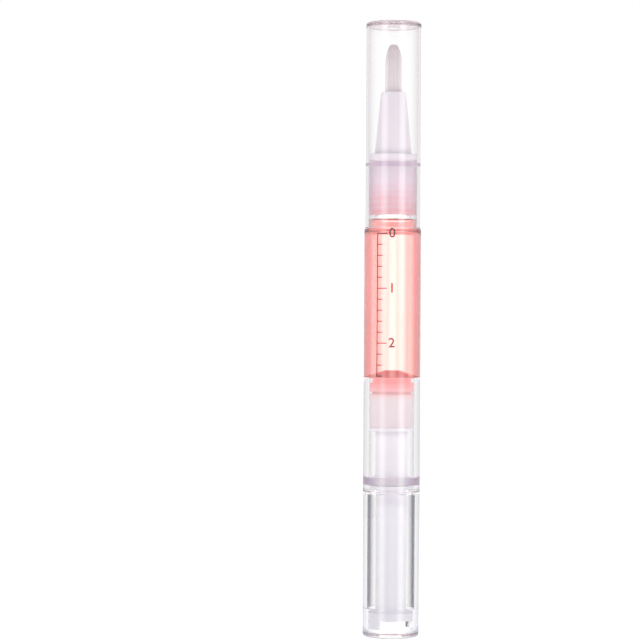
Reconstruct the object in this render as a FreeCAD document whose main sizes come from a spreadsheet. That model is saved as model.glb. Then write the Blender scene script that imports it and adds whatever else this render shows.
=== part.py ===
import FreeCAD, Part
import math
import os
from types import SimpleNamespace

import Sketcher

# Driving sizes, in millimetres, each set once in the sheet
SIZES = {
    # Knob
    "knob_length": 32.15,
    "knob_draft": 0.1,
    "knob_wall": 1.1,
    "knob_seat_wall": 1.4,
    "knob_seat_height": 4.6,
    "knob_floor": 1.8,
    "knob_foot_round": 0.6,
    "knob_rim_round": 0.15,
    "gate_recess_diameter": 3.2,
    "gate_recess_depth": 0.3,
    "key_width": 8.0,
    "key_length": 8.4,
    "key_height": 1.9,
    "key_turn": 26,
    # Barrel
    "knob_gap": 0.15,
    "barrel_diameter": 12.9,
    "barrel_wall": 1.35,
    "barrel_edge_round": 0.2,
    "tail_inset": 0.3,
    "snap_bead_height": 0.5,
    "snap_bead_depth": 0.18,
    "stroke_end_gap": 0.2,
    "shoulder_height": 1.2,
    "bore_taper": 1.6,
    "neck_length": 15.4,
    "neck_wall": 1.1,
    "neck_bead_height": 1.2,
    "neck_bead_drop": 0.4,
    "neck_bead_slope": 0.3,
    # Cap
    "cap_inset": 0.2,
    "cap_wall": 0.55,
    "cap_top_wall": 1.1,
    "cap_edge_round": 0.5,
    "cap_gate_diameter": 2.8,
    "cap_gate_depth": 0.25,
    "cap_mouth_chamfer": 0.2,
    "brush_headroom": 3.5,
    # Nozzle
    "flange_height": 1.3,
    "cone_length": 14.1,
    "flange_step": 1.2,
    "nozzle_tip_diameter": 5.55,
    "nozzle_tip_round": 0.4,
    "shank_length": 12.4,
    "shank_wall": 0.9,
    "rib_width": 0.7,
    "rib_inset": 1.8,
    "rib_spacing": 2.6,
    "socket_depth": 5.0,
    "passage_diameter": 2.0,
    "passage_length": 1.0,
    # Brush
    "brush_diameter": 4.1,
    "brush_root_diameter": 3.95,
    "bristle_length": 11.0,
    "dome_length": 5.1,
    "root_height": 1.2,
    "feed_tube_diameter": 1.2,
    "feed_tube_wall": 0.2,
    "feed_tube_foot": 1.5,
    "feed_tube_rise": 9.0,
    # Piston
    "piston_length": 11.0,
    "piston_rest_gap": 0.2,
    "piston_crown": 1.6,
    "crown_diameter": 2.4,
    "lip_height": 0.3,
    "lip_groove": 1.0,
    "groove_depth": 0.68,
    "second_lip_height": 1.9,
    "second_groove": 0.6,
    "skirt_relief": 0.1,
    "skirt_thickness": 0.95,
    "skirt_depth": 2.1,
    # Lead screw
    "screw_diameter": 4.0,
    "screw_flat_depth": 0.25,
    "screw_lead": 3.2,
    "twist_turns": 10,
    "thread_depth": 0.5,
    "thread_crest": 0.7,
    "thread_flank": 0.35,
    "screw_foot_gap": 2.4,
    "screw_foot_chamfer": 0.4,
    "screw_rise": 1.8,
    "screw_neck_step": 0.3,
    "screw_head_step": 0.1,
    "screw_head_height": 2.2,
    "screw_head_chamfer": 0.6,
    "snap_web": 1.3,
    # Screw nut and click ring
    "nut_length": 12.9,
    "nut_flange_height": 0.8,
    "nut_thread_length": 5.0,
    "nut_skirt_wall": 0.55,
    "tooth_height": 1.3,
    "tooth_web": 0.5,
    "tooth_rim": 0.35,
    "tooth_depth": 0.3,
    "tooth_count": 16,
    "tooth_share": 0.85,
    "hub_wall": 0.25,
    "finger_thickness": 0.2,
    "finger_count": 2,
    "finger_teeth": 4,
    "finger_lag": 1,
    "finger_root_sweep": 14,
    "finger_tip_sweep": 4,
    "finger_tip_reach": 0.1,
    # Drive tube
    "tube_diameter": 7.0,
    "tube_tip_wall": 0.9,
    "tube_top_gap": 0.4,
    "collar_height": 0.8,
    "flare_height": 3.7,
    "flare_slope": 0.6,
    # Oil
    "oil_rise": 6.4,
    # Clearances
    "press_gap": 0.02,
    "oil_film": 0.01,
    "cap_seat_gap": 0.05,
    "bead_clearance": 0.05,
    "neck_clearance": 0.3,
    "shank_clearance": 0.12,
    "piston_clearance": 0.02,
    "collar_clearance": 0.1,
    "axial_play": 0.1,
    "thread_clearance": 0.12,
    "slot_clearance": 0.1,
    "sleeve_clearance": 0.1,
    "key_clearance": 0.1,
    "foot_gap": 0.05,
    "head_clearance": 0.15,
    "finger_clearance": 0.06,
}


class Formula:
    """A size, kept both as a number and as an expression over the sheet's cells."""

    def __init__(self, text, value):
        self.text = text
        self.value = value

    @staticmethod
    def of(item):
        return item if isinstance(item, Formula) else Formula(str(item), float(item))

    def joined(self, sign, other, value):
        return Formula(f"({self.text} {sign} {other.text})", value)

    def __add__(self, other):
        other = Formula.of(other)
        return self.joined("+", other, self.value + other.value)

    def __sub__(self, other):
        other = Formula.of(other)
        return self.joined("-", other, self.value - other.value)

    def __mul__(self, other):
        other = Formula.of(other)
        return self.joined("*", other, self.value * other.value)

    def __truediv__(self, other):
        other = Formula.of(other)
        return self.joined("/", other, self.value / other.value)


ZERO = Formula("0", 0.0)


def whole(size):
    """The whole number below a size."""
    return Formula(f"floor({size.text})", float(math.floor(size.value)))


def turned_point(radius, degrees):
    """A point on a circle about the axis, at an angle from +X."""
    angle = math.radians(degrees.value)
    across = Formula(f"({radius.text} * cos({degrees.text} * 1deg))", radius.value * math.cos(angle))
    along = Formula(f"({radius.text} * sin({degrees.text} * 1deg))", radius.value * math.sin(angle))
    return across, along


def make_sheet(doc):
    """Fills the sheet and gives each size back as a formula."""
    sheet = doc.addObject("Spreadsheet::Sheet", "Sizes")
    for row, (alias, value) in enumerate(SIZES.items(), start=1):
        sheet.set(f"A{row}", alias)
        sheet.set(f"B{row}", str(value))
        sheet.setAlias(f"B{row}", alias)
    doc.recompute()
    return SimpleNamespace(**{alias: Formula(f"Sizes.{alias}", float(v)) for alias, v in SIZES.items()})


def work_out_fits(s):
    """Radii and heights that follow from the sizes, from the inside out and from the foot up."""
    f = SimpleNamespace()

    # Radii of the cap, neck and nozzle
    f.barrel_r = s.barrel_diameter / 2
    f.cap_r = f.barrel_r - s.cap_inset
    f.cap_bore_r = f.cap_r - s.cap_wall
    f.neck_r = f.cap_bore_r - s.neck_clearance
    f.bead_r = f.cap_bore_r - s.bead_clearance
    f.neck_bore_r = f.neck_r - s.neck_wall
    f.rib_r = f.neck_bore_r - s.press_gap
    f.shank_r = f.neck_bore_r - s.shank_clearance
    f.shank_bore_r = f.shank_r - s.shank_wall
    f.brush_root_r = s.brush_root_diameter / 2
    f.socket_r = f.brush_root_r + s.press_gap
    f.feed_r = s.feed_tube_diameter / 2
    f.feed_hole_r = f.feed_r + s.press_gap

    # Radii of the barrel, piston, screw and drive
    f.bore_r = f.barrel_r - s.barrel_wall
    f.piston_r = f.bore_r - s.piston_clearance
    f.screw_r = s.screw_diameter / 2
    f.slot_r = f.screw_r + s.slot_clearance
    f.tube_r = s.tube_diameter / 2
    f.tube_tip_r = f.slot_r + s.tube_tip_wall
    f.skirt_bore_r = f.tube_tip_r + s.sleeve_clearance
    f.skirt_r = f.skirt_bore_r + s.nut_skirt_wall
    f.core_r = f.screw_r - s.thread_depth
    f.half_flats = f.core_r - s.screw_flat_depth
    f.screw_neck_r = f.core_r - s.screw_neck_step
    f.screw_head_r = f.screw_r - s.screw_head_step
    f.nut_r = f.bore_r - s.press_gap
    f.valley_r = f.nut_r - s.tooth_rim
    f.crest_r = f.valley_r - s.tooth_depth
    f.tooth_pitch = Formula.of(360) / s.tooth_count
    f.finger_sweep = f.tooth_pitch * s.finger_teeth + s.finger_lag
    f.collar_r = f.bore_r - s.collar_clearance
    f.knob_rim_r = f.barrel_r
    f.knob_foot_r = f.knob_rim_r - s.knob_draft
    f.knob_bore_r = f.knob_rim_r - s.knob_wall
    f.seat_r = f.knob_rim_r - s.knob_seat_wall

    # Heights, from the foot up
    f.seat_top = s.knob_floor + s.knob_seat_height
    f.barrel_foot = s.knob_length + s.knob_gap
    f.snap_foot = f.barrel_foot + s.tail_inset
    f.snap_top = f.snap_foot + s.snap_bead_height
    f.collar_foot = f.snap_top + s.axial_play
    f.collar_top = f.collar_foot + s.collar_height
    f.nut_foot = f.collar_top + s.axial_play
    f.tooth_top = f.nut_foot + s.tooth_height
    f.nut_top = f.nut_foot + s.nut_length
    f.nut_thread_foot = f.nut_top - s.nut_thread_length
    f.tube_foot = s.knob_floor + s.foot_gap
    f.tube_top = f.nut_thread_foot - s.tube_top_gap
    f.piston_foot = f.nut_top + s.piston_rest_gap
    f.piston_top = f.piston_foot + s.piston_length
    f.crown_top = f.piston_top + s.piston_crown
    f.bore_end = f.piston_top + s.screw_lead * s.twist_turns + s.stroke_end_gap
    f.taper_end = f.bore_end + s.bore_taper
    f.shoulder = f.bore_end + s.shoulder_height
    f.neck_top = f.shoulder + s.neck_length
    f.flange_foot = f.neck_top + s.press_gap
    f.flange_top = f.flange_foot + s.flange_height
    f.shank_foot = f.neck_top - s.shank_length
    f.nozzle_tip = f.flange_top + s.cone_length
    f.socket_floor = f.nozzle_tip - s.socket_depth
    f.root_foot = f.socket_floor + s.press_gap
    f.root_top = f.root_foot + s.root_height
    f.bristle_foot = f.root_top + s.press_gap
    f.brush_tip = f.nozzle_tip + s.bristle_length
    f.dome_foot = f.brush_tip - s.dome_length
    f.feed_foot = f.root_foot - s.feed_tube_foot
    f.feed_top = f.root_top + s.feed_tube_rise
    f.cap_foot = f.shoulder + s.cap_seat_gap
    f.cap_inner_top = f.brush_tip + s.brush_headroom
    f.cap_top = f.cap_inner_top + s.cap_top_wall

    # Heights along the screw, with its thread in step with the nut's
    f.screw_foot = s.knob_floor + s.screw_foot_gap
    f.screw_thread_top = f.piston_foot + s.screw_rise
    f.web_foot = f.piston_foot + s.skirt_depth
    f.web_top = f.web_foot + s.snap_web
    f.head_foot = f.web_top + s.head_clearance
    f.head_top = f.head_foot + s.screw_head_height
    f.thread_width = s.thread_crest + s.thread_flank * 2
    f.turns_below = whole((f.nut_thread_foot - f.screw_foot - s.screw_foot_chamfer) / s.screw_lead)
    f.thread_start = f.nut_thread_foot - s.screw_lead * f.turns_below
    f.thread_rise = f.screw_thread_top - f.thread_start - f.thread_width
    return f


def make_body(doc, label):
    body = doc.addObject("PartDesign::Body", label)
    body.Label = label
    return body


def make_sketch(body, name, role, height=ZERO):
    """A sketch on one of the body's own planes, lifted along the plane's normal."""
    sketch = body.newObject("Sketcher::SketchObject", f"{body.Label}_{name}")
    plane = next(item for item in body.Origin.OriginFeatures if item.Role == role)
    sketch.AttachmentSupport = [(plane, "")]
    sketch.MapMode = "FlatFace"
    if height is not ZERO:
        sketch.setExpression("AttachmentOffset.Base.z", height.text)
    return sketch


def bind(sketch, constraint, size):
    """Adds a sized constraint and ties it to the sheet."""
    number = sketch.addConstraint(constraint)
    sketch.setExpression(f"Constraints[{number}]", size.text)


def draw_outline(sketch, corners):
    """A closed outline of straight lines, each corner tied to the sheet in both directions."""
    points = [FreeCAD.Vector(across.value, along.value, 0) for across, along in corners]
    count = len(points)
    for i in range(count):
        sketch.addGeometry(Part.LineSegment(points[i], points[(i + 1) % count]))
    for i in range(count):
        sketch.addConstraint(Sketcher.Constraint("Coincident", i, 2, (i + 1) % count, 1))
    for i, (across, along) in enumerate(corners):
        for kind, axis, size in (("DistanceX", -2, across), ("DistanceY", -1, along)):
            if size is ZERO:
                sketch.addConstraint(Sketcher.Constraint("PointOnObject", i, 1, axis))
            else:
                bind(sketch, Sketcher.Constraint(kind, -1, 1, i, 1, size.value), size)


def draw_rectangle(sketch, half_width, far, depth):
    """A rectangle centred on Y, that reaches far along +Y and is depth long."""
    x = half_width.value
    high = far.value
    low = far.value - depth.value
    corners = [FreeCAD.Vector(*xy, 0) for xy in ((-x, low), (x, low), (x, high), (-x, high))]
    for i in range(4):
        sketch.addGeometry(Part.LineSegment(corners[i], corners[(i + 1) % 4]))
    for i in range(4):
        sketch.addConstraint(Sketcher.Constraint("Coincident", i, 2, (i + 1) % 4, 1))
    for i, direction in ((1, "Vertical"), (2, "Horizontal"), (3, "Vertical")):
        sketch.addConstraint(Sketcher.Constraint(direction, i))
    sketch.addConstraint(Sketcher.Constraint("Symmetric", 0, 1, 0, 2, -2))
    bind(sketch, Sketcher.Constraint("DistanceX", -1, 1, 2, 1, x), half_width)
    bind(sketch, Sketcher.Constraint("DistanceY", -1, 1, 2, 1, high), far)
    bind(sketch, Sketcher.Constraint("DistanceY", 1, 1, 1, 2, depth.value), depth)


def draw_sector(sketch, inner_r, outer_r, sweep):
    """A piece of a ring that begins at +X and runs anticlockwise."""
    centre = FreeCAD.Vector(0, 0, 0)
    normal = FreeCAD.Vector(0, 0, 1)
    end = math.radians(sweep.value)
    for radius in (inner_r, outer_r):
        sketch.addGeometry(Part.ArcOfCircle(Part.Circle(centre, normal, radius.value), 0, end))
    for angle in (0, end):
        ends = [FreeCAD.Vector(r.value * math.cos(angle), r.value * math.sin(angle), 0) for r in (inner_r, outer_r)]
        sketch.addGeometry(Part.LineSegment(*ends))
    for arc, radius in ((0, inner_r), (1, outer_r)):
        sketch.addConstraint(Sketcher.Constraint("Coincident", arc, 3, -1, 1))
        bind(sketch, Sketcher.Constraint("Radius", arc, radius.value), radius)
    for line, arc_end in ((2, 1), (3, 2)):
        sketch.addConstraint(Sketcher.Constraint("Coincident", line, 1, 0, arc_end))
        sketch.addConstraint(Sketcher.Constraint("Coincident", line, 2, 1, arc_end))
    sketch.addConstraint(Sketcher.Constraint("PointOnObject", 2, 1, -1))
    sketch.addConstraint(Sketcher.Constraint("PointOnObject", 2, 2, -1))
    number = sketch.addConstraint(Sketcher.Constraint("Angle", 2, 1, 3, 1, end))
    sketch.setExpression(f"Constraints[{number}]", f"{sweep.text} * 1deg")


def spin(body, corners):
    """Turns an outline of (radius, height) corners about the pen's axis."""
    sketch = make_sketch(body, "outline", "XZ_Plane")
    draw_outline(sketch, corners)
    feature = body.newObject("PartDesign::Revolution", f"{body.Label}_spin")
    feature.Profile = sketch
    feature.ReferenceAxis = (sketch, ["V_Axis"])
    feature.Angle = 360
    body.Document.recompute()
    return feature


def raise_pad(body, name, sketch, length):
    feature = body.newObject("PartDesign::Pad", f"{body.Label}_{name}")
    feature.Profile = sketch
    feature.setExpression("Length", length.text)
    body.Document.recompute()
    return feature


def sink_pocket(body, name, sketch, length):
    """Cuts upward from the sketch's plane, and makes sure that the cut took material away."""
    before = body.Shape.Volume
    feature = body.newObject("PartDesign::Pocket", f"{body.Label}_{name}")
    feature.Profile = sketch
    feature.Reversed = True
    feature.setExpression("Length", length.text)
    body.Document.recompute()
    if body.Shape.Volume > before - 1e-4:
        raise RuntimeError(f"{feature.Label} cut nothing")
    return feature


def repeat_round(body, name, features, count):
    """Repeats features round the pen's axis."""
    pattern = body.newObject("PartDesign::PolarPattern", f"{body.Label}_{name}")
    pattern.Originals = features
    pattern.Axis = (features[0].Profile[0], ["N_Axis"])
    pattern.Angle = 360
    pattern.setExpression("Occurrences", count.text)
    body.Tip = pattern
    body.Document.recompute()


def wind(body, name, kind, corners, lead, rise):
    """A right-hand thread whose tooth outline starts on +X."""
    sketch = make_sketch(body, name, "XZ_Plane")
    draw_outline(sketch, corners)
    feature = body.newObject(f"PartDesign::{kind}", f"{body.Label}_{name}_helix")
    feature.Profile = sketch
    feature.ReferenceAxis = (sketch, ["V_Axis"])
    feature.Mode = 0
    feature.setExpression("Pitch", lead.text)
    feature.setExpression("Height", rise.text)
    body.Document.recompute()


def ring_edges(body, rings):
    """Names of the round edges about the axis with the given (radius, height)."""
    names = []
    for radius, height in rings:
        for number, edge in enumerate(body.Shape.Edges, start=1):
            curve = edge.Curve
            if not isinstance(curve, Part.Circle):
                continue
            if abs(curve.Radius - radius.value) < 1e-4 and abs(curve.Center.z - height.value) < 1e-4:
                names.append(f"Edge{number}")
    return names


def round_rings(body, name, size, rings):
    """Rounds round edges about the axis."""
    feature = body.newObject("PartDesign::Fillet", f"{body.Label}_{name}")
    feature.Base = (body.Tip if body.Tip is not feature else feature.BaseFeature, ring_edges(body, rings))
    feature.setExpression("Radius", size.text)
    body.Document.recompute()


def make_knob(doc, s, f):
    body = make_body(doc, "knob")
    recess_r = s.gate_recess_diameter / 2
    spin(body, [
        (ZERO, s.gate_recess_depth),
        (recess_r, s.gate_recess_depth),
        (recess_r, ZERO),
        (f.knob_foot_r, ZERO),
        (f.knob_rim_r, s.knob_length),
        (f.knob_bore_r, s.knob_length),
        (f.knob_bore_r, f.seat_top),
        (f.seat_r, f.seat_top),
        (f.seat_r, s.knob_floor),
        (ZERO, s.knob_floor),
    ])
    # Bar on the floor that turns the drive tube
    sketch = make_sketch(body, "key", "XY_Plane", s.knob_floor - s.foot_gap)
    draw_rectangle(sketch, s.key_width / 2, s.key_length / 2, s.key_length)
    sketch.setExpression("AttachmentOffset.Rotation.Angle", f"{s.key_turn.text} * 1deg")
    raise_pad(body, "key_bar", sketch, s.key_height + s.foot_gap)
    round_rings(body, "foot_round", s.knob_foot_round, [(f.knob_foot_r, ZERO)])
    round_rings(body, "rim_round", s.knob_rim_round, [(f.knob_rim_r, s.knob_length)])
    return body


def make_drive_tube(doc, s, f):
    body = make_body(doc, "drive_tube")
    foot_r = f.seat_r - s.press_gap
    flare_top = f.tube_foot + s.flare_height
    half_slot = f.half_flats + s.slot_clearance
    spin(body, [
        (half_slot, f.tube_foot),
        (foot_r, f.tube_foot),
        (foot_r, flare_top),
        (f.tube_r, flare_top + s.flare_slope),
        (f.tube_r, f.collar_foot),
        (f.collar_r, f.collar_foot),
        (f.collar_r, f.collar_top),
        (f.tube_tip_r, f.collar_top),
        (f.tube_tip_r, f.tube_top),
        (half_slot, f.tube_top),
    ])
    # Slot that lets the screw slide but not turn
    sketch = make_sketch(body, "slot", "XY_Plane", f.tube_foot)
    draw_rectangle(sketch, f.slot_r, half_slot, half_slot * 2)
    sink_pocket(body, "screw_slot", sketch, f.tube_top - f.tube_foot)
    # Notch across the foot for the knob's key bar
    sketch = make_sketch(body, "notch", "XY_Plane", f.tube_foot)
    reach = foot_r + s.key_width
    draw_rectangle(sketch, s.key_width / 2 + s.key_clearance, reach, reach * 2)
    sketch.setExpression("AttachmentOffset.Rotation.Angle", f"{s.key_turn.text} * 1deg")
    sink_pocket(body, "key_notch", sketch, s.key_height + s.key_clearance)
    return body


def make_click_ring(doc, s, f):
    body = make_body(doc, "click_ring")
    hub_bore_r = f.tube_tip_r + s.press_gap
    hub_r = hub_bore_r + s.hub_wall
    foot = f.collar_top + s.axial_play
    top = f.tooth_top - s.axial_play
    spin(body, [(hub_bore_r, foot), (hub_r, foot), (hub_r, top), (hub_bore_r, top)])
    finger_r = f.crest_r - s.finger_clearance
    finger_bore_r = finger_r - s.finger_thickness
    pads = []
    # Each finger is a root on the hub, a springy band and a tip that drops into a tooth gap
    for name, inner_r, outer_r, sweep in (
        ("root", hub_r - s.press_gap, finger_r, s.finger_root_sweep),
        ("band", finger_bore_r, finger_r, f.finger_sweep),
        ("tip", finger_r - s.press_gap, f.crest_r + s.finger_tip_reach, s.finger_tip_sweep),
    ):
        sketch = make_sketch(body, name, "XY_Plane", foot)
        draw_sector(sketch, inner_r, outer_r, sweep)
        if name == "tip":
            sketch.setExpression("AttachmentOffset.Rotation.Angle", f"{f.finger_sweep.text} * 1deg")
        pads.append(raise_pad(body, f"{name}_pad", sketch, top - foot))
    repeat_round(body, "fingers", pads, s.finger_count)
    return body


def make_screw_nut(doc, s, f):
    body = make_body(doc, "screw_nut")
    bore_r = f.core_r + s.thread_clearance
    web_top = f.tooth_top + s.tooth_web
    flange_foot = f.nut_top - s.nut_flange_height
    spin(body, [
        (bore_r, f.nut_thread_foot),
        (f.skirt_bore_r, f.nut_thread_foot),
        (f.skirt_bore_r, f.tooth_top),
        (f.crest_r, f.tooth_top),
        (f.crest_r, f.nut_foot),
        (f.nut_r, f.nut_foot),
        (f.nut_r, web_top),
        (f.skirt_r, web_top),
        (f.skirt_r, flange_foot),
        (f.nut_r, flange_foot),
        (f.nut_r, f.nut_top),
        (bore_r, f.nut_top),
    ])
    # Saw teeth that the click ring runs over
    inner_r = f.crest_r - s.tooth_depth
    sketch = make_sketch(body, "tooth", "XY_Plane", f.nut_foot)
    draw_outline(sketch, [
        (inner_r, ZERO),
        (f.valley_r, ZERO),
        turned_point(f.crest_r, f.tooth_pitch * s.tooth_share),
        turned_point(inner_r, f.tooth_pitch * s.tooth_share),
    ])
    gap = sink_pocket(body, "tooth_gap", sketch, s.tooth_height)
    repeat_round(body, "teeth", [gap], s.tooth_count)
    # Thread, from one turn below the threaded length to one turn above it
    start = f.nut_thread_foot - s.screw_lead
    low = start - s.thread_clearance
    high = start + f.thread_width + s.thread_clearance
    inside_r = bore_r - s.thread_clearance
    wind(body, "thread", "SubtractiveHelix", [
        (inside_r, low),
        (bore_r, low),
        (f.screw_r + s.thread_clearance, low + s.thread_flank),
        (f.screw_r + s.thread_clearance, high - s.thread_flank),
        (bore_r, high),
        (inside_r, high),
    ], s.screw_lead, s.nut_thread_length + s.screw_lead)
    return body


def make_lead_screw(doc, s, f):
    body = make_body(doc, "lead_screw")
    head_r = f.screw_head_r
    spin(body, [
        (ZERO, f.screw_foot),
        (f.core_r - s.screw_foot_chamfer, f.screw_foot),
        (f.core_r, f.screw_foot + s.screw_foot_chamfer),
        (f.core_r, f.screw_thread_top),
        (f.screw_neck_r, f.screw_thread_top),
        (f.screw_neck_r, f.head_foot),
        (head_r, f.head_foot),
        (head_r, f.head_top - s.screw_head_chamfer),
        (head_r - s.screw_head_chamfer, f.head_top),
        (ZERO, f.head_top),
    ])
    inside_r = f.core_r - s.thread_clearance
    end = f.thread_start + f.thread_width
    wind(body, "thread", "AdditiveHelix", [
        (inside_r, f.thread_start),
        (f.core_r, f.thread_start),
        (f.screw_r, f.thread_start + s.thread_flank),
        (f.screw_r, end - s.thread_flank),
        (f.core_r, end),
        (inside_r, end),
    ], s.screw_lead, f.thread_rise)
    # Two flats that slide in the drive tube's slot
    far = f.screw_r + s.thread_depth
    for name, turn in (("flat_back", "0"), ("flat_front", "180")):
        sketch = make_sketch(body, name, "XY_Plane", f.screw_foot)
        sketch.setExpression("AttachmentOffset.Rotation.Angle", f"{turn} * 1deg")
        draw_rectangle(sketch, far, far, far - f.half_flats)
        sink_pocket(body, f"{name}_cut", sketch, f.screw_thread_top - f.screw_foot)
    return body


def make_piston(doc, s, f):
    body = make_body(doc, "piston")
    skirt_r = f.piston_r - s.skirt_relief
    groove_r = f.piston_r - s.groove_depth
    lip_foot = f.piston_top - s.lip_height
    second_top = lip_foot - s.lip_groove
    second_foot = second_top - s.second_lip_height
    skirt_top = second_foot - s.second_groove
    hole_r = f.screw_neck_r + s.head_clearance
    pocket_r = f.screw_head_r + s.head_clearance
    hollow_r = skirt_r - s.skirt_thickness
    pocket_top = f.head_top + s.head_clearance
    spin(body, [
        (hollow_r, f.piston_foot),
        (skirt_r, f.piston_foot),
        (skirt_r, skirt_top),
        (groove_r, skirt_top),
        (groove_r, second_foot),
        (f.piston_r, second_foot),
        (f.piston_r, second_top),
        (groove_r, second_top),
        (groove_r, lip_foot),
        (f.piston_r, lip_foot),
        (f.piston_r, f.piston_top),
        (groove_r, f.piston_top),
        (s.crown_diameter / 2, f.crown_top),
        (ZERO, f.crown_top),
        (ZERO, pocket_top),
        (pocket_r, pocket_top),
        (pocket_r, f.web_top),
        (hole_r, f.web_top),
        (hole_r, f.web_foot),
        (hollow_r, f.web_foot),
    ])
    return body


def make_oil_column(doc, s, f):
    body = make_body(doc, "oil_column")
    oil_r = f.bore_r - s.oil_film
    neck_oil_r = f.neck_bore_r - s.oil_film
    foot = f.piston_top + s.oil_film
    crown = f.crown_top + s.oil_film
    top = f.shank_foot - s.oil_film
    spin(body, [
        (ZERO, crown),
        (s.crown_diameter / 2, crown),
        (f.piston_r - s.groove_depth, foot),
        (oil_r, foot),
        (oil_r, f.bore_end),
        (neck_oil_r, f.taper_end),
        (neck_oil_r, top),
        (ZERO, top),
    ])
    return body


def make_nozzle_oil(doc, s, f):
    body = make_body(doc, "nozzle_oil")
    oil_r = f.shank_bore_r - s.oil_film
    top = f.shank_foot + s.oil_rise
    spin(body, [(ZERO, f.shank_foot), (oil_r, f.shank_foot), (oil_r, top), (ZERO, top)])
    return body


def make_barrel(doc, s, f):
    body = make_body(doc, "barrel")
    snap_r = f.bore_r - s.snap_bead_depth
    bead_top = f.neck_top - s.neck_bead_drop
    bead_foot = bead_top - s.neck_bead_height
    spin(body, [
        (f.bore_r, f.barrel_foot),
        (f.barrel_r, f.barrel_foot),
        (f.barrel_r, f.shoulder),
        (f.neck_r, f.shoulder),
        (f.neck_r, bead_foot),
        (f.bead_r, bead_foot + s.neck_bead_slope),
        (f.bead_r, bead_top - s.neck_bead_slope),
        (f.neck_r, bead_top),
        (f.neck_r, f.neck_top),
        (f.neck_bore_r, f.neck_top),
        (f.neck_bore_r, f.taper_end),
        (f.bore_r, f.bore_end),
        (f.bore_r, f.snap_top),
        (snap_r, f.snap_top),
        (snap_r, f.snap_foot + s.snap_bead_depth),
        (f.bore_r, f.snap_foot),
    ])
    rings = [(f.barrel_r, f.barrel_foot), (f.barrel_r, f.shoulder)]
    round_rings(body, "edge_round", s.barrel_edge_round, rings)
    return body


def make_nozzle(doc, s, f):
    body = make_body(doc, "nozzle")
    tip_r = s.nozzle_tip_diameter / 2
    passage_r = s.passage_diameter / 2
    passage_foot = f.socket_floor - s.passage_length
    low_rib = f.shank_foot + s.rib_inset
    high_rib = low_rib + s.rib_spacing
    ribs = []
    for foot in (low_rib, high_rib):
        ribs += [
            (f.shank_r, foot),
            (f.rib_r, foot),
            (f.rib_r, foot + s.rib_width),
            (f.shank_r, foot + s.rib_width),
        ]
    spin(body, [
        (f.shank_bore_r, f.shank_foot),
        (f.shank_r, f.shank_foot),
        *ribs,
        (f.shank_r, f.flange_foot),
        (f.neck_r, f.flange_foot),
        (f.neck_r, f.flange_top),
        (f.neck_r - s.flange_step, f.flange_top),
        (tip_r, f.nozzle_tip),
        (f.socket_r, f.nozzle_tip),
        (f.socket_r, f.socket_floor),
        (passage_r, f.socket_floor),
        (passage_r, passage_foot),
        (f.shank_bore_r, f.flange_foot),
    ])
    round_rings(body, "tip_round", s.nozzle_tip_round, [(tip_r, f.nozzle_tip)])
    return body


def make_bristle_root(doc, s, f):
    body = make_body(doc, "bristle_root")
    spin(body, [
        (f.feed_hole_r, f.root_foot),
        (f.brush_root_r, f.root_foot),
        (f.brush_root_r, f.root_top),
        (f.feed_hole_r, f.root_top),
    ])
    return body


def make_feed_tube(doc, s, f):
    body = make_body(doc, "feed_tube")
    bore_r = f.feed_r - s.feed_tube_wall
    spin(body, [(bore_r, f.feed_foot), (f.feed_r, f.feed_foot), (f.feed_r, f.feed_top), (bore_r, f.feed_top)])
    return body


def make_bristles(doc, s, f):
    body = make_body(doc, "bristles")
    brush_r = s.brush_diameter / 2
    hole_top = f.feed_top + s.press_gap
    spin(body, [
        (f.feed_hole_r, f.bristle_foot),
        (f.brush_root_r, f.bristle_foot),
        (f.brush_root_r, f.nozzle_tip),
        (brush_r, f.dome_foot),
        (ZERO, f.dome_foot),
        (ZERO, hole_top),
        (f.feed_hole_r, hole_top),
    ])
    # Rounded tip
    dome = body.newObject("PartDesign::AdditiveEllipsoid", "bristles_dome")
    dome.setExpression("Placement.Base.z", f.dome_foot.text)
    dome.setExpression("Radius1", s.dome_length.text)
    dome.setExpression("Radius2", brush_r.text)
    dome.setExpression("Radius3", brush_r.text)
    dome.Angle1 = 0
    doc.recompute()
    return body


def make_cap(doc, s, f):
    body = make_body(doc, "cap")
    gate_r = s.cap_gate_diameter / 2
    gate_foot = f.cap_inner_top - s.cap_gate_depth
    spin(body, [
        (f.cap_bore_r + s.cap_mouth_chamfer, f.cap_foot),
        (f.cap_r, f.cap_foot),
        (f.cap_r, f.cap_top),
        (ZERO, f.cap_top),
        (ZERO, gate_foot),
        (gate_r, gate_foot),
        (gate_r, f.cap_inner_top),
        (f.cap_bore_r, f.cap_inner_top),
        (f.cap_bore_r, f.cap_foot + s.cap_mouth_chamfer),
    ])
    round_rings(body, "edge_round", s.cap_edge_round, [(f.cap_r, f.cap_top)])
    return body


def check(doc):
    """Stops if any object of the document is in a fault state."""
    for item in doc.Objects:
        faults = [word for word in item.State if word in ("Invalid", "Error")]
        if faults:
            raise RuntimeError(f"{item.Label}: {faults}")


def export(bodies):
    """Writes each sub-part to its own file, once its shape is a sound single solid."""
    os.makedirs("parts", exist_ok=True)
    for body in bodies:
        shape = body.Shape
        if shape.isNull() or not shape.isValid() or len(shape.Solids) != 1:
            raise RuntimeError(f"{body.Label} is not one sound solid")
        shape.exportStep(f"parts/{body.Label}.step")


def main():
    doc = FreeCAD.newDocument("nail_oil_pen")
    sizes = make_sheet(doc)
    fits = work_out_fits(sizes)
    makers = (
        make_knob,
        make_drive_tube,
        make_click_ring,
        make_screw_nut,
        make_lead_screw,
        make_piston,
        make_oil_column,
        make_nozzle_oil,
        make_barrel,
        make_nozzle,
        make_bristle_root,
        make_feed_tube,
        make_bristles,
        make_cap,
    )
    bodies = [make(doc, sizes, fits) for make in makers]
    doc.recompute()
    check(doc)
    export(bodies)


main()
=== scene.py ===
import math
import random

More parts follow.
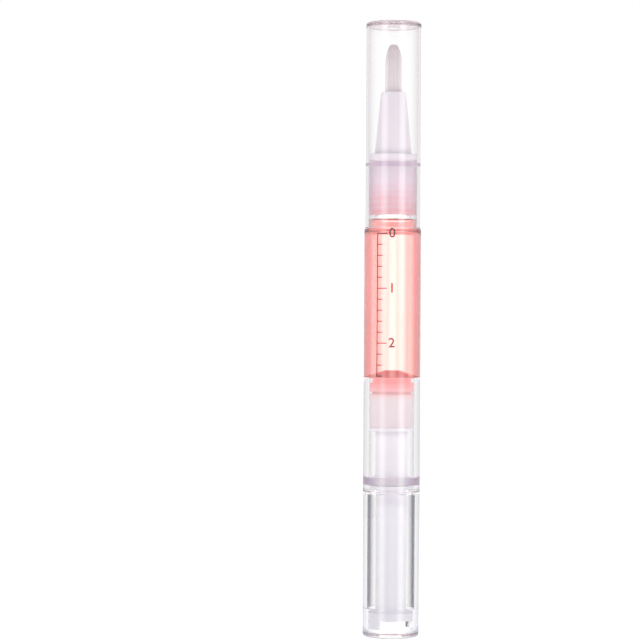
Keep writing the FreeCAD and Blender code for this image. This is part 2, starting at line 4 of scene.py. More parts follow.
import bmesh
import bpy
from bpy.props import FloatProperty, FloatVectorProperty, IntProperty, PointerProperty
from bpy.types import Operator, Panel, PropertyGroup
from mathutils import Matrix, Vector


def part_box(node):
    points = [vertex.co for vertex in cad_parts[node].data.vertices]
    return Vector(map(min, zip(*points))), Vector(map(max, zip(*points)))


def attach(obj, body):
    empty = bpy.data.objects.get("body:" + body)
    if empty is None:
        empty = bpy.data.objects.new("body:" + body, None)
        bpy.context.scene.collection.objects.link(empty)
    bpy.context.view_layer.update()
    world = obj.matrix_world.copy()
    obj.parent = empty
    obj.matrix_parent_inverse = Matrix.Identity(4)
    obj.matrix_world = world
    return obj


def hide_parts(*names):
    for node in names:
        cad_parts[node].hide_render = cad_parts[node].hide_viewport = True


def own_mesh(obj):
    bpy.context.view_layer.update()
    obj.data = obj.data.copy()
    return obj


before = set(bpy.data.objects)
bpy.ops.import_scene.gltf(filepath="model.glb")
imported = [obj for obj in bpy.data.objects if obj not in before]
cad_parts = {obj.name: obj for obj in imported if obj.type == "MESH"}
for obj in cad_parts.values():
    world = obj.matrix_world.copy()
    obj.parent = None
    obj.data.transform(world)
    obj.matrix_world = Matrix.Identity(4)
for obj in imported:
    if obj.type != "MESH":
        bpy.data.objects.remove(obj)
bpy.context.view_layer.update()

bl_info = {
    "name": "Nail Oil Pen",
    "version": (1, 0, 0),
    "blender": (4, 5, 0),
    "location": "View3D > Sidebar > Oil Pen",
    "description": "Dresses a clear twist-up nail oil pen: moulded plastic, oil, bristles and a white stage",
    "category": "Object",
}

MM = 0.001


def linear(code):
    """Linear colour of an sRGB hex value."""
    channels = [int(code[i:i + 2], 16) / 255 for i in (0, 2, 4)]
    return [c / 12.92 if c <= 0.04045 else ((c + 0.055) / 1.055) ** 2.4 for c in channels]


def length(label, millimetres, description):
    """A length that a user can change."""
    return FloatProperty(name=label, description=description, default=millimetres * MM, min=0.0, unit="LENGTH")


def colour(label, code, description):
    """A colour that a user can change."""
    return FloatVectorProperty(
        name=label, description=description, default=linear(code), min=0.0, max=1.0, subtype="COLOR"
    )


class PenSizes(PropertyGroup):
    """Walls, steps and roundings that the frame's boxes don't give."""

    edge_round: length("Edge rounding", 0.08, "Radius on moulded edges that aren't rounded more")
    cap_wall: length("Cap wall", 0.55, "Thickness of the cap's sleeve")
    cap_top_wall: length("Cap top", 1.1, "Thickness of the cap's flat top")
    cap_top_round: length("Cap top rounding", 0.5, "Radius round the cap's top")
    cap_gate: length("Cap gate", 2.8, "Diameter of the gate mark under the cap's top")
    cap_gate_depth: length("Cap gate depth", 0.25, "How far the gate mark stands out")
    cap_mouth: length("Cap mouth", 0.2, "Chamfer inside the cap's mouth")
    barrel_wall: length("Barrel wall", 1.35, "Thickness of the barrel's tube")
    shoulder_drop: length("Shoulder drop", 15.4, "Height of the neck above the shoulder")
    shoulder_height: length("Shoulder height", 1.2, "From the end of the straight bore to the shoulder")
    bore_taper: length("Bore taper", 1.6, "Length over which the bore narrows to the neck")
    bore_round: length("Bore rounding", 1.2, "Radius where the bore narrows to the neck")
    barrel_round: length("Barrel rounding", 0.2, "Radius on the barrel's outer edges")
    neck_clearance: length("Neck clearance", 0.3, "Room between the neck and the cap")
    bead_contact: length("Bead contact", 0.02, "How far the neck's bead presses into the cap")
    neck_wall: length("Neck wall", 1.1, "Thickness of the neck")
    bead_height: length("Bead height", 1.2, "Height of the neck's snap bead")
    bead_drop: length("Bead drop", 0.4, "From the neck's top to the bead")
    bead_slope: length("Bead slope", 0.3, "Height of the bead's slanted sides")
    snap_inset: length("Snap inset", 0.3, "From the barrel's foot to the bead inside it")
    snap_height: length("Snap height", 0.5, "Height of the bead inside the foot")
    snap_depth: length("Snap depth", 0.18, "How far the bead inside the foot stands in")
    nut_ring: length("Nut ring", 1.8, "Height of the ring at the nut's foot")
    nut_grip: length("Nut grip", 0.02, "How far the barrel grips that ring, to meet it without air")
    knob_wall: length("Knob wall", 1.1, "Thickness of the knob's cup")
    knob_seat_wall: length("Knob seat wall", 1.4, "Thickness of the cup round the drive tube's foot")
    knob_seat: length("Knob seat", 4.6, "Height of the thicker wall above the floor")
    knob_floor: length("Knob floor", 1.8, "Thickness of the knob's floor")
    knob_draft: length("Knob draft", 0.1, "How much narrower the foot's radius is than the rim's")
    knob_foot_round: length("Knob foot rounding", 0.6, "Radius round the knob's foot")
    knob_gate: length("Knob gate", 3.2, "Diameter of the recess under the knob")
    knob_gate_depth: length("Knob gate depth", 0.3, "Depth of the recess under the knob")
    key_width: length("Key width", 8.0, "Width of the bar on the knob's floor")
    key_length: length("Key length", 8.4, "Length of the bar on the knob's floor")
    key_height: length("Key height", 1.9, "Height of the bar on the knob's floor")
    key_turn: FloatProperty(
        name="Key turn", description="Turn of the bar from the front", default=math.radians(26), subtype="ANGLE"
    )
    flange_height: length("Flange height", 1.3, "Thickness of the nozzle's flange")
    flange_step: length("Flange step", 1.2, "From the flange's edge to the cone's foot")
    cone_length: length("Cone length", 14.1, "Length of the nozzle's cone")
    nozzle_tip: length("Nozzle tip", 5.55, "Diameter of the cone's tip")
    nozzle_tip_round: length("Nozzle tip rounding", 0.4, "Radius round the cone's tip")
    shank_contact: length("Shank contact", 0.02, "How far the wet shank reaches into the neck, to meet it without air")
    socket_depth: length("Socket depth", 5.0, "Depth of the brush's socket")
    passage: length("Passage", 2.0, "Diameter of the oil passage under the socket")
    passage_length: length("Passage length", 1.0, "Length of that passage")
    piston_crown: length("Piston crown", 1.6, "Height of the piston's cone")
    crown_diameter: length("Crown diameter", 2.4, "Diameter of the flat on the piston's cone")
    groove_depth: length("Groove depth", 0.68, "Depth of the grooves between the piston's lips")
    lip_height: length("Lip height", 0.3, "Height of the piston's upper lip")
    lip_groove: length("Lip groove", 1.0, "Height of the groove under it")
    second_lip: length("Second lip", 1.9, "Height of the piston's second lip")
    second_groove: length("Second groove", 0.6, "Height of the groove under that")
    skirt_relief: length("Skirt relief", 0.1, "How much narrower the piston's skirt is than its lips")
    skirt_thickness: length("Skirt thickness", 0.95, "Wall of the piston's skirt")
    skirt_depth: length("Skirt depth", 2.28, "Depth of the hollow under the piston")
    skirt_reach: length("Skirt reach", 0.18, "How far the soft skirt spreads down towards the nut")
    oil_contact: length("Oil contact", 0.03, "How far the oil reaches into the wall, to meet it without air")
    oil_headspace: length("Oil headspace", 0.85, "Air left between the oil's brim and the nozzle's shank")
    meniscus: length("Meniscus", 0.7, "How far the oil climbs the neck's wall")
    meniscus_reach: length("Meniscus reach", 1.2, "How far from the wall the oil's surface bends")
    ink_height: length("Ink height", 0.01, "Thickness of the printed ink")
    ink_line: length("Ink line", 0.22, "Width of the fill scale's lines")
    short_tick: length("Short tick", 1.3, "Length of the tick for a fifth of a millilitre")
    long_tick: length("Long tick", 2.4, "Length of the tick for a millilitre")
    number_height: length("Number height", 3.0, "Size of the fill scale's numbers")
    bristle: length("Bristle", 0.15, "Diameter of one bristle at its root")
    dome_length: length("Brush dome", 5.1, "Length of the brush's rounded end")
    brush_root: length("Brush root", 3.95, "Diameter of the brush where it leaves the nozzle")
    bristle_count: IntProperty(name="Bristles", description="Number of bristles", default=520, min=50)


class PenColours(PropertyGroup):
    """Colours of the pen's materials."""

    clear: colour("Clear plastic", "D9C9D0", "What a deep layer of clear plastic lets through")
    # Edge colours: the plastic's lilac cast along a long way through the wall, deepened into painted shade at the
    # edges
    cap_edge_cast_and_shade: colour("Cap edge", "CDC2CA", "Cap, seen along its wall")
    cap_top: colour("Cap top", "E2D0D6", "Cap, seen through its closed top")
    bead: colour("Bead", "ECE3EE", "Bead round the neck")
    # Painted shade as well as lilac cast, like the cap's edge
    barrel_edge_cast_and_shade: colour("Barrel edge", "A695A8", "Barrel, seen along its wall")
    knob_edge_cast_and_shade: colour("Knob edge", "A3A0B4", "Knob, seen along its wall")
    # Painted shade: the dark line along the knob's bore
    knob_bore_painted_shade: colour("Knob bore", "2B273A", "Knob, seen along its bore")
    nozzle: colour("Nozzle plastic", "F9F0F9", "Nozzle")
    nozzle_stain: colour("Nozzle stain", "FFC8D2", "Nozzle, with oil behind it")
    piston: colour("Piston plastic", "E7D9DE", "Piston")
    piston_stain: colour("Piston stain", "F8A4A6", "Piston, with oil round it")
    nut: colour("Nut plastic", "F0EAF1", "Nut")
    # Painted light: the ring at the nut's foot is painted lighter than the nut
    nut_ring: colour("Nut ring", "F8F4FF", "Thick ring at the nut's foot")
    # Painted shade: the ring's sides are painted darker
    nut_side_shade: colour("Nut ring's sides", "DFD6E8", "That ring, at its sides")
    drive: colour("Drive plastic", "F2EFF6", "Drive tube, screw and click ring")
    nylon: colour("Nylon", "FAF1F5", "Bristles")
    oil: colour("Oil", "FD5A3F", "What a deep layer of oil lets through")
    ink: colour("Ink", "6B4F55", "Fill scale printed on the barrel")


class PenStage(PropertyGroup):
    """Camera of the studio."""

    distance: length("Camera distance", 551.0, "From the camera to the pen")
    height: length("Camera height", 71.0, "Height of the camera")
    aside: length("Camera offset", 16.25, "How far the camera stands to the left of the pen")
    view_angle: FloatProperty(
        name="View angle", description="Angle of view", default=math.radians(14.9), subtype="ANGLE"
    )
    roll: FloatProperty(
        name="Camera roll", description="Lean of the picture", default=math.radians(0.33), subtype="ANGLE"
    )


def settings():
    scene = bpy.context.scene
    return scene.oil_pen_sizes, scene.oil_pen_colours, scene.oil_pen_stage


def radius_of(node):
    """Largest radius of a node about the pen's axis."""
    low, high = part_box(node)
    return (high[0] - low[0]) / 2


def heights_of(node):
    low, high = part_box(node)
    return low[2], high[2]


# Materials

WHITE = (1.0, 1.0, 1.0, 1.0)
# How far a mask reaches past the face that it picks out
SKIN = 0.1 * MM


def add_node(tree, kind, inputs=None, **settings):
    """Adds a node with its settings, and sets or links its inputs."""
    node = tree.nodes.new(kind)
    for name, value in settings.items():
        setattr(node, name, value)
    for socket, value in (inputs or {}).items():
        if isinstance(value, bpy.types.NodeSocket):
            tree.links.new(value, node.inputs[socket])
        else:
            node.inputs[socket].default_value = value
    return node


def calc(tree, operation, *values, **settings):
    """What a sum on sockets and numbers comes to."""
    return add_node(tree, "ShaderNodeMath", dict(enumerate(values)), operation=operation, **settings).outputs["Value"]


def ramp(tree, value, low, high, start=0.0, end=1.0, interpolation="LINEAR"):
    """Goes from start to end while a value goes from low to high."""
    inputs = {"Value": value, "From Min": low, "From Max": high, "To Min": start, "To Max": end}
    return add_node(tree, "ShaderNodeMapRange", inputs, interpolation_type=interpolation).outputs["Result"]


def mix(tree, share, first, second):
    """Goes from a first colour to a second one."""
    inputs = {"Factor": share, "A": first, "B": second}
    return add_node(tree, "ShaderNodeMix", inputs, data_type="RGBA").outputs["Result"]


def scaled(tree, place, factors):
    """Coordinates, each times its factor."""
    return add_node(tree, "ShaderNodeVectorMath", {0: place, 1: factors}, operation="MULTIPLY").outputs["Vector"]


def part_of(tree, vector, axis):
    """One coordinate of a vector."""
    return add_node(tree, "ShaderNodeSeparateXYZ", {"Vector": vector}).outputs[axis]


def noise(tree, place, spacing, detail):
    """Noise whose features are spacing millimetres apart."""
    inputs = {"Vector": place, "Scale": 1 / (spacing * MM), "Detail": detail}
    return add_node(tree, "ShaderNodeTexNoise", inputs).outputs["Fac"]


def toned(tree, value, colour):
    """A colour made lighter or darker."""
    return add_node(tree, "ShaderNodeHueSaturation", {"Value": value, "Color": colour}).outputs["Color"]


def opaque(colour):
    return (*colour, 1.0)


def new_material(name):
    """An empty material, its nodes and the object's own coordinates."""
    material = bpy.data.materials.new(name)
    material.use_nodes = True
    tree = material.node_tree
    tree.nodes.clear()
    return material, tree, add_node(tree, "ShaderNodeTexCoord").outputs["Object"]


def clear_san(name, edge, bore_radius=None, thick=None):
    """Styrene acrylonitrile, moulded against polished steel: glassy, with a faint flow ripple and fine rub marks,
    and a lilac cast where the wall is seen along its length at the sides, deepened into painted shade at the edges,
    and a dark painted shade line along the knob's bore."""
    sizes, colours, _ = settings()
    material, tree, place = new_material(name)
    gloss = ramp(tree, noise(tree, place, 0.8, 3.0), 0.45, 0.8, 0.0, 0.05)
    ripple = add_node(tree, "ShaderNodeBump", {
        "Height": noise(tree, place, 9.0, 1.0), "Strength": 0.02, "Distance": 0.2 * MM,
    })
    height = part_of(tree, place, "Z")
    graze = add_node(tree, "ShaderNodeLayerWeight", {"Blend": 0.5}).outputs["Facing"]
    normal = add_node(tree, "ShaderNodeNewGeometry").outputs["True Normal"]
    upright = ramp(tree, calc(tree, "ABSOLUTE", part_of(tree, normal, "Z")), 0.0, 0.12, 1.0, 0.0)
    # Painted shade on top of the lilac cast: the wall is darkened where it is seen at a graze, towards its edges
    along = ramp(tree, graze, 0.25, 0.9, 0.0, upright)
    if bore_radius:
        # The solid foot gets the lilac cast and painted edge shade all round its edge, and more deeply
        solid = calc(tree, "LESS_THAN", height, sizes.knob_floor - SKIN)
        along = ramp(tree, solid, 0.0, 1.0, along, ramp(tree, graze, 0.12, 0.45))
    tint = mix(tree, along, WHITE, opaque(edge))
    if thick:
        # A thick part, the cap's top or the neck's bead, is tinted right across
        low, high, deep = thick
        within = calc(tree, "COMPARE", height, (low + high) / 2, (high - low) / 2)
        tint = mix(tree, within, tint, opaque(deep))
    if bore_radius:
        # The bore's dark line is painted shade. Only the eye's own path meets it,
        # so that light still comes in to the pieces inside
        bounced = add_node(tree, "ShaderNodeLightPath").outputs["Diffuse Depth"]
        flat = scaled(tree, place, (1.0, 1.0, 0.0))
        away = add_node(tree, "ShaderNodeVectorMath", {0: flat}, operation="LENGTH").outputs["Value"]
        inside = calc(tree, "LESS_THAN", away, bore_radius + SKIN)
        above = calc(tree, "GREATER_THAN", height, sizes.knob_floor + sizes.knob_seat)
        seen = calc(tree, "SUBTRACT", calc(tree, "MULTIPLY", inside, above), bounced, use_clamp=True)
        tint = mix(tree, ramp(tree, graze, 0.2, 0.55, 0.0, seen), tint, opaque(colours.knob_bore_painted_shade))
    shader = add_node(tree, "ShaderNodeBsdfPrincipled", {
        "Base Color": tint,
        "Roughness": gloss,
        "IOR": 1.57,
        "Transmission Weight": 1.0,
        "Normal": ripple.outputs["Normal"],
    })
    cast = add_node(tree, "ShaderNodeVolumeAbsorption", {"Color": opaque(colours.clear), "Density": 3.0})
    ends = {"Surface": shader.outputs["BSDF"], "Volume": cast.outputs["Volume"]}
    add_node(tree, "ShaderNodeOutputMaterial", ends)
    return material


def milky_plastic(name, base, stain_and_light, stain_low, stain_high, creep, soak, side_shade=None, rings=None):
    """Natural polypropylene, polyethylene or acetal, moulded satin: some light soaks a millimetre into it,
    oil behind a wall stains it, and the surface has a fine, soft grain and faint flow streaks. The stain's band
    also carries painted light, a lighter colour on the nut's ring, with painted shade on that ring's sides."""
    material, tree, place = new_material(name)
    height = part_of(tree, place, "Z")
    cloud = noise(tree, scaled(tree, place, (0.2, 0.2, 1.0)), 1.8, 2.0)
    drift = calc(tree, "MULTIPLY_ADD", cloud, creep, height)
    # The band is an oil stain on the nozzle and piston, and painted light, a lighter ring, on the nut
    wet = ramp(tree, drift, stain_low, stain_high, interpolation="SMOOTHSTEP")
    if rings:
        # Oil is caught in rings between the ribs
        swing = calc(tree, "SINE", calc(tree, "MULTIPLY", height, math.tau / rings))
        wet = calc(tree, "MULTIPLY", wet, ramp(tree, swing, -1.0, 1.0, 0.6, 1.0))
    tint = mix(tree, wet, opaque(base), opaque(stain_and_light))
    if side_shade:
        # Painted shade: the sides of the band are painted darker
        graze = add_node(tree, "ShaderNodeLayerWeight", {"Blend": 0.5}).outputs["Facing"]
        tint = mix(tree, ramp(tree, graze, 0.06, 0.16, 0.0, wet), tint, opaque(side_shade))
    streak = noise(tree, scaled(tree, place, (1.0, 1.0, 0.03)), 2.2, 1.0)
    grain = noise(tree, place, 0.25, 2.0)
    bump = add_node(tree, "ShaderNodeBump", {"Height": grain, "Strength": 0.08, "Distance": 0.05 * MM})
    shader = add_node(tree, "ShaderNodeBsdfPrincipled", {
        "Base Color": toned(tree, ramp(tree, streak, 0.3, 0.7, 0.94, 1.0), tint),
        "Roughness": ramp(tree, grain, 0.0, 1.0, 0.28, 0.42),
        "IOR": 1.49,
        "Specular IOR Level": 0.3,
        "Subsurface Weight": soak,
        "Subsurface Radius": (1.0, 0.9, 1.0),
        "Subsurface Scale": 0.8 * MM,
        "Normal": bump.outputs["Normal"],
    })
    add_node(tree, "ShaderNodeOutputMaterial", {"Surface": shader.outputs["BSDF"]})
    return material


def cosmetic_oil():
    """Scented oil: as clear as glass, with a coral pink that deepens with the length of the light's way through it."""
    _, colours, _ = settings()
    material, tree, _ = new_material("cosmetic_oil")
    shader = add_node(tree, "ShaderNodeBsdfPrincipled", {
        "Base Color": WHITE, "Roughness": 0.0, "IOR": 1.47, "Transmission Weight": 1.0,
    })
    depth = add_node(tree, "ShaderNodeVolumeAbsorption", {"Color": opaque(colours.oil), "Density": 150.0})
    ends = {"Surface": shader.outputs["BSDF"], "Volume": depth.outputs["Volume"]}
    add_node(tree, "ShaderNodeOutputMaterial", ends)
    return material


def nylon_filament():
    """Drawn nylon: smooth, slightly see-through white filaments, each a little lighter or darker than the next."""
    _, colours, _ = settings()
    material, tree, place = new_material("nylon_filament")
    each = add_node(tree, "ShaderNodeNewGeometry").outputs["Random Per Island"]
    shader = add_node(tree, "ShaderNodeBsdfPrincipled", {
        "Base Color": toned(tree, ramp(tree, each, 0.0, 1.0, 0.86, 1.06), opaque(colours.nylon)),
        "Roughness": ramp(tree, noise(tree, place, 1.0, 2.0), 0.0, 1.0, 0.3, 0.5),
        "IOR": 1.53,
        "Specular IOR Level": 0.3,
    })
    add_node(tree, "ShaderNodeOutputMaterial", {"Surface": shader.outputs["BSDF"]})
    return material


def screen_ink():
    """Screen-printed ink: thin, matt and slightly uneven, with pinholes that are drawn coarser than real ones
    to show."""
    _, colours, _ = settings()
    material, tree, place = new_material("screen_ink")
    fade = ramp(tree, noise(tree, place, 0.15, 2.0), 0.0, 1.0, 0.85, 1.25)
    shader = add_node(tree, "ShaderNodeBsdfPrincipled", {
        "Base Color": toned(tree, fade, opaque(colours.ink)), "Roughness": 0.6,
    })
    add_node(tree, "ShaderNodeOutputMaterial", {"Surface": shader.outputs["BSDF"]})
    return material


def paper_sweep():
    """Matt white paper: the camera and the clear plastic see it white, and it still takes the pen's shadow."""
    material, tree, _ = new_material("paper_sweep")
    path = add_node(tree, "ShaderNodeLightPath").outputs
    seen = calc(tree, "ADD", path["Is Camera Ray"], path["Is Transmission Ray"])
    paper = add_node(tree, "ShaderNodeBsdfDiffuse", {"Color": (0.88, 0.88, 0.88, 1.0)})
    glow = add_node(tree, "ShaderNodeEmission", {"Strength": calc(tree, "MULTIPLY", seen, 0.52)})
    both = add_node(tree, "ShaderNodeAddShader", {0: paper.outputs["BSDF"], 1: glow.outputs["Emission"]})
    add_node(tree, "ShaderNodeOutputMaterial", {"Surface": both.outputs["Shader"]})
    return material


# Turned shapes


ARC_STEPS = 5
TURN_STEPS = 144
SMOOTH_ANGLE = math.radians(40)
# Distance of a supporting ring from the end of a run
SUPPORT = 0.12 * MM
# Share of a run that the rounding at one end may take
SPARE_RUN = 0.45
# A point closer to the axis than this lies on it
ON_AXIS = 1e-9


def soften(corners, edge_round):
    """Rounds each corner of a closed outline with an arc.

    A corner is a radius, a height and, where it has one of its own, a rounding. A ring close to each end of
    a long run makes it shade flat.
    """
    arcs = []
    count = len(corners)
    points = [Vector(corner[:2]) for corner in corners]
    for i, at in enumerate(points):
        to_last = points[i - 1] - at
        to_next = points[(i + 1) % count] - at
        rounding = corners[i][2] if len(corners[i]) > 2 else edge_round
        if at.x < ON_AXIS or rounding == 0:
            arcs.append([at])
            continue
        half = to_last.angle(to_next) / 2
        cut = min(rounding / math.tan(half), SPARE_RUN * to_last.length, SPARE_RUN * to_next.length)
        rounding = cut * math.tan(half)
        centre = at + (to_last.normalized() + to_next.normalized()).normalized() * (rounding / math.sin(half))
        first = at + to_last.normalized() * cut - centre
        turn = first.angle_signed(at + to_next.normalized() * cut - centre)
        arcs.append([centre + Matrix.Rotation(-turn * k / ARC_STEPS, 2) @ first for k in range(ARC_STEPS + 1)])
    rings = []
    for i, arc in enumerate(arcs):
        rings += arc
        run = arcs[(i + 1) % count][0] - arc[-1]
        if run.length > 4 * SUPPORT:
            rings.append(arc[-1] + run.normalized() * SUPPORT)
            rings.append(arc[-1] + run.normalized() * (run.length - SUPPORT))
    return rings


def new_object(name, bm, material=None):
    """An object of a mesh, in the scene, with its material."""
    bmesh.ops.recalc_face_normals(bm, faces=bm.faces)
    for face in bm.faces:
        face.smooth = True
    mesh = bpy.data.meshes.new(name)
    bm.to_mesh(mesh)
    bm.free()
    mesh.set_sharp_from_angle(angle=SMOOTH_ANGLE)
    if material:
        mesh.materials.append(material)
    piece = bpy.data.objects.new(name, mesh)
    bpy.context.scene.collection.objects.link(piece)
    return piece


def turn_into(bm, rings, steps):
    """Spins an outline's rings about the pen's axis."""
    loops = []
    for point in rings:
        if point.x < ON_AXIS:
            loops.append([bm.verts.new((0.0, 0.0, point.y))])
            continue
        angles = [math.tau * k / steps for k in range(steps)]
        loops.append([bm.verts.new((point.x * math.cos(a), point.x * math.sin(a), point.y)) for a in angles])
    for i, low in enumerate(loops):
        high = loops[(i + 1) % len(loops)]
        for k in range(max(len(low), len(high))):
            corners = [low[k % len(low)], low[(k + 1) % len(low)], high[(k + 1) % len(high)], high[k % len(high)]]
            corners = list(dict.fromkeys(corners))
            if len(corners) > 2:
                bm.faces.new(corners)


def turned(name, corners, material):
    """A turned piece from its outline."""
    sizes, _, _ = settings()
    bm = bmesh.new()
    turn_into(bm, soften(corners, sizes.edge_round), TURN_STEPS)
    return new_object(name, bm, material)


def dress(piece, body, node):
    """Sets a piece on its body, in place of its CAD node."""
    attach(piece, body)
    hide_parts(node)


def finish_node(node, material):
    """Gives a CAD node that is shown as it is its material."""
    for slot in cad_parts[node].material_slots:
        slot.material = material


class OILPEN_OT_cap(Operator):
    """Make the clear cap"""

    bl_idname = "oil_pen.cap"
    bl_label = "Cap"

    def execute(self, context):
        sizes, colours, _ = settings()
        outer = radius_of("cap")
        foot, top = heights_of("cap")
        bore = outer - sizes.cap_wall
        roof = top - sizes.cap_top_wall
        gate = sizes.cap_gate / 2
        piece = turned("cap_sleeve", [
            (bore + sizes.cap_mouth, foot),
            (outer, foot),
            (outer, top, sizes.cap_top_round),
            (0.0, top),
            (0.0, roof - sizes.cap_gate_depth),
            (gate, roof - sizes.cap_gate_depth),
            (gate, roof),
            (bore, roof),
            (bore, foot + sizes.cap_mouth),
        ], clear_san("clear_san_cap", colours.cap_edge_cast_and_shade, thick=(roof - SKIN, top + SKIN, colours.cap_top)))
        dress(piece, "cap", "cap")
        return {"FINISHED"}


class OILPEN_OT_barrel(Operator):
    """Make the clear barrel with its neck"""

    bl_idname = "oil_pen.barrel"
    bl_label = "Barrel"

    def execute(self, context):
        sizes, colours, _ = settings()
        outer = radius_of("barrel") - sizes.ink_height
        foot, top = heights_of("barrel")
        bore = radius_of("barrel") - sizes.barrel_wall
        cap_bore = radius_of("cap") - sizes.cap_wall
        neck = cap_bore - sizes.neck_clearance
        bead = cap_bore + sizes.bead_contact
        neck_bore = neck - sizes.neck_wall
        shoulder = top - sizes.shoulder_drop
        bore_end = shoulder - sizes.shoulder_height
        bead_top = top - sizes.bead_drop
        bead_foot = bead_top - sizes.bead_height
        grip = radius_of("screw_nut") - sizes.nut_grip
        ring_foot = heights_of("screw_nut")[0]
        ring_top = ring_foot + sizes.nut_ring
        snap = bore - sizes.snap_depth
        snap_foot = foot + sizes.snap_inset
        snap_top = snap_foot + sizes.snap_height
        piece = turned("barrel_tube", [
            (bore, foot),
            (outer, foot, sizes.barrel_round),
            (outer, shoulder, sizes.barrel_round),
            (neck, shoulder),
            (neck, bead_foot),
            (bead, bead_foot + sizes.bead_slope),
            (bead, bead_top - sizes.bead_slope),
            (neck, bead_top),
            (neck, top),
            (neck_bore, top),
            (neck_bore, bore_end + sizes.bore_taper, sizes.bore_round),
            (bore, bore_end, sizes.bore_round),
            (bore, ring_top),
            (grip, ring_top),
            (grip, ring_foot),
            (bore, ring_foot),
            (bore, snap_top),
            (snap, snap_top),
            (snap, snap_foot + sizes.snap_depth),
            (bore, snap_foot),
        ], clear_san("clear_san_barrel", colours.barrel_edge_cast_and_shade, thick=(bead_foot, bead_top, colours.bead)))
        dress(piece, "barrel", "barrel")
        return {"FINISHED"}


class OILPEN_OT_scale(Operator):
    """Print the fill scale: a tick for each fifth of a millilitre and a number for each whole one"""

    bl_idname = "oil_pen.scale"
    bl_label = "Fill scale"

    TURN = math.radians(-34)
    FIFTHS = 13
    NUMBER_GAP = 0.4 * MM
    NUMBER_WEIGHT = 0.04 * MM
    # The flat print is cut into upright slices to bend round the barrel
    SLICE = 0.25 * MM
    CUTS = 23
    # Depth of the print, in thicknesses of ink
    SUNK = 1.5

    def execute(self, context):
        sizes, _, _ = settings()
        bore = radius_of("barrel") - sizes.barrel_wall
        full = heights_of("barrel")[1] - sizes.shoulder_drop - sizes.shoulder_height
        millilitre = 1e-6 / (math.pi * bore ** 2)
        low = full - self.FIFTHS / 5 * millilitre
        flat = bmesh.new()
        self.add_bar(flat, 0.0, sizes.ink_line, low - sizes.ink_line / 2, full + sizes.ink_line / 2)
        for fifth in range(self.FIFTHS + 1):
            height = full - fifth / 5 * millilitre
            reach = sizes.short_tick if fifth % 5 else sizes.long_tick
            self.add_bar(flat, sizes.ink_line, reach, height - sizes.ink_line / 2, height + sizes.ink_line / 2)
            if fifth % 5 == 0:
                self.add_number(flat, str(fifth // 5), reach + self.NUMBER_GAP, height)
        self.roll(flat)
        piece = new_object("fill_scale_print", flat, screen_ink())
        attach(piece, "barrel")
        return {"FINISHED"}

    def add_bar(self, flat, left, right, low, high):
        corners = ((left, low), (right, low), (right, high), (left, high))
        flat.faces.new([flat.verts.new((x, y, 0.0)) for x, y in corners])

    def add_number(self, flat, words, left, height):
        sizes, _, _ = settings()
        text = bpy.data.curves.new("number", "FONT")
        text.body = words
        text.size = sizes.number_height
        text.align_y = "CENTER"
        text.offset = self.NUMBER_WEIGHT
        holder = bpy.data.objects.new("number", text)
        mesh = bpy.data.meshes.new_from_object(holder)
        mesh.transform(Matrix.Translation((left, height, 0.0)))
        flat.from_mesh(mesh)
        bpy.data.objects.remove(holder)

    def roll(self, flat):
        """Rolls the flat print on to the barrel, as a thin layer that is sunk a little into the wall."""
        sizes, _, _ = settings()
        outer = radius_of("barrel")
        for cut in range(1, self.CUTS + 1):
            everything = [*flat.verts, *flat.edges, *flat.faces]
            at = (cut * self.SLICE, 0.0, 0.0)
            bmesh.ops.bisect_plane(flat, geom=everything, plane_co=at, plane_no=(1.0, 0.0, 0.0))
        raised = bmesh.ops.extrude_face_region(flat, geom=flat.faces[:], use_keep_orig=True)["geom"]
        raised = {item for item in raised if isinstance(item, bmesh.types.BMVert)}
        for vert in flat.verts:
            radius = outer if vert in raised else outer - self.SUNK * sizes.ink_height
            turn = self.TURN + vert.co.x / outer
            vert.co = (radius * math.sin(turn), -radius * math.cos(turn), vert.co.y)


class OILPEN_OT_knob(Operator):
    """Make the clear turning knob"""

    bl_idname = "oil_pen.knob"
    bl_label = "Knob"

    RIM_ROUND = 0.15 * MM
    # How far the bar reaches into the floor
    BAR_ROOT = 0.3 * MM

    def execute(self, context):
        sizes, colours, _ = settings()
        rim = radius_of("knob")
        foot, top = heights_of("knob")
        bore = rim - sizes.knob_wall
        seat = rim - sizes.knob_seat_wall
        floor = foot + sizes.knob_floor
        gate = sizes.knob_gate / 2
        clear = clear_san("clear_san_knob", colours.knob_edge_cast_and_shade, bore)
        cup = turned("knob_cup", [
            (0.0, foot + sizes.knob_gate_depth),
            (gate, foot + sizes.knob_gate_depth),
            (gate, foot),
            (rim - sizes.knob_draft, foot, sizes.knob_foot_round),
            (rim, top, self.RIM_ROUND),
            (bore, top),
            (bore, floor + sizes.knob_seat),
            (seat, floor + sizes.knob_seat),
            (seat, floor),
            (0.0, floor),
        ], clear)
        self.join_bar(cup, floor)
        dress(cup, "knob", "knob")
        return {"FINISHED"}

    def join_bar(self, cup, floor):
        """Joins the bar that turns the drive tube to the floor and the wall."""
        sizes, _, _ = settings()
        low, high = floor - self.BAR_ROOT, floor + sizes.key_height
        bm = bmesh.new()
        bmesh.ops.create_cube(bm, size=1.0)
        for vert in bm.verts:
            x, y, z = vert.co
            vert.co = (x * sizes.key_width, y * sizes.key_length, low + (z + 0.5) * (high - low))
        bmesh.ops.rotate(bm, verts=bm.verts, matrix=Matrix.Rotation(sizes.key_turn, 3, "Z"))
        bmesh.ops.bevel(bm, geom=bm.edges, offset=sizes.edge_round, segments=3, affect="EDGES", profile=0.5)
        bar = new_object("knob_key_bar", bm)
        union = cup.modifiers.new("key_bar", "BOOLEAN")
        union.operation = "UNION"
        union.object = bar
        joined = bpy.data.meshes.new_from_object(cup.evaluated_get(bpy.context.evaluated_depsgraph_get()))
        joined.set_sharp_from_angle(angle=SMOOTH_ANGLE)
        cup.modifiers.clear()
        cup.data = joined
        bpy.data.objects.remove(bar)


